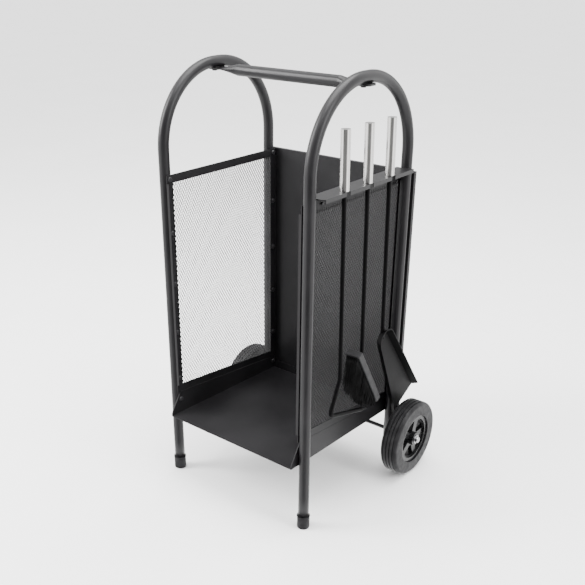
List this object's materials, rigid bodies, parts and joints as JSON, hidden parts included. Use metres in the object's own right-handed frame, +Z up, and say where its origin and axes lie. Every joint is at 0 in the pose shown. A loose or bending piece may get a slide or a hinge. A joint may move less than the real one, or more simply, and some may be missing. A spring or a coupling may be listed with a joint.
{
  "type": "firewood log rack",
  "caption": "Wheeled firewood rack of bent tube hoops with mesh sides, a tipped tray, a shelf of lift-off fire tools and rolling wheels.",
  "frame": {"origin": "on the floor under the middle of the bounding box", "axes": "+Z up, open front towards -Y, fire tools at the +X side, wheels at the +Y side"},
  "size_m": [0.4636, 0.3908, 0.8],
  "materials": {
    "frame_powder_coat": "satin anthracite powder coat",
    "panel_powder_coat": "matt black powder coat",
    "mesh_powder_coat": "matt black powder coat",
    "screw_steel": "dark coated steel",
    "foot_rubber": "black rubber",
    "black_plastic": "black moulded plastic",
    "washer_steel": "zinc plated",
    "cap_chrome": "bright plated",
    "tyre_rubber": "dark grey rubber",
    "hub_plastic": "gloss black",
    "grip_steel": "brushed stainless steel",
    "rod_powder_coat": "black powder coat",
    "block_plastic": "dark grey",
    "bristle_fibre": "black fibre"
  },
  "bodies": {
    "rack": {"left_hoop": "frame_powder_coat", "right_hoop": "frame_powder_coat", "handle_bar": "frame_powder_coat", "axle": "frame_powder_coat", "left_panel_frame": "panel_powder_coat", "right_panel_frame": "panel_powder_coat", "back_panel": "panel_powder_coat", "log_tray": "panel_powder_coat", "tool_shelf": "panel_powder_coat", "left_mesh": "mesh_powder_coat", "right_mesh": "mesh_powder_coat", "handle_bar_screws": "screw_steel", "left_panel_screws": "screw_steel", "right_panel_screws": "screw_steel", "back_panel_screws": "screw_steel", "log_tray_screws": "screw_steel", "tool_shelf_screws": "screw_steel", "left_foot_cap": "foot_rubber", "right_foot_cap": "foot_rubber", "left_leg_plug": "black_plastic", "right_leg_plug": "black_plastic", "left_wheel_washers": "washer_steel", "right_wheel_washers": "washer_steel", "left_axle_cap": "cap_chrome", "right_axle_cap": "cap_chrome"},
    "left_wheel": {"left_tyre": "tyre_rubber", "left_wheel_hub": "hub_plastic"},
    "right_wheel": {"right_tyre": "tyre_rubber", "right_wheel_hub": "hub_plastic"},
    "poker": {"poker_grip": "grip_steel", "poker_grip_cap": "grip_steel", "poker_rod": "rod_powder_coat"},
    "brush": {"brush_grip": "grip_steel", "brush_grip_cap": "grip_steel", "brush_rod": "rod_powder_coat", "brush_block": "block_plastic", "brush_bristles": "bristle_fibre"},
    "shovel": {"shovel_grip": "grip_steel", "shovel_grip_cap": "grip_steel", "shovel_rod": "rod_powder_coat", "shovel_pan": "rod_powder_coat"}
  },
  "joints": [
    {"name": "left_wheel_spin", "type": "hinge", "parent": "rack", "child": "left_wheel", "pos_m": [-0.2055, 0.11841, 0.077], "axis": [1, 0, 0], "continuous": true},
    {"name": "right_wheel_spin", "type": "hinge", "parent": "rack", "child": "right_wheel", "pos_m": [0.2055, 0.11841, 0.077], "axis": [1, 0, 0], "continuous": true},
    {"name": "poker_lift_off", "type": "slide", "parent": "rack", "child": "poker", "axis": [1, 0, 0], "range_m": [0, 0.12]},
    {"name": "brush_lift_off", "type": "slide", "parent": "rack", "child": "brush", "axis": [0.995, 0, 0.0995], "range_m": [0, 0.12]},
    {"name": "shovel_lift_off", "type": "slide", "parent": "rack", "child": "shovel", "axis": [0.2334, 0, 0.9724], "range_m": [0, 0.3]}
  ]
}
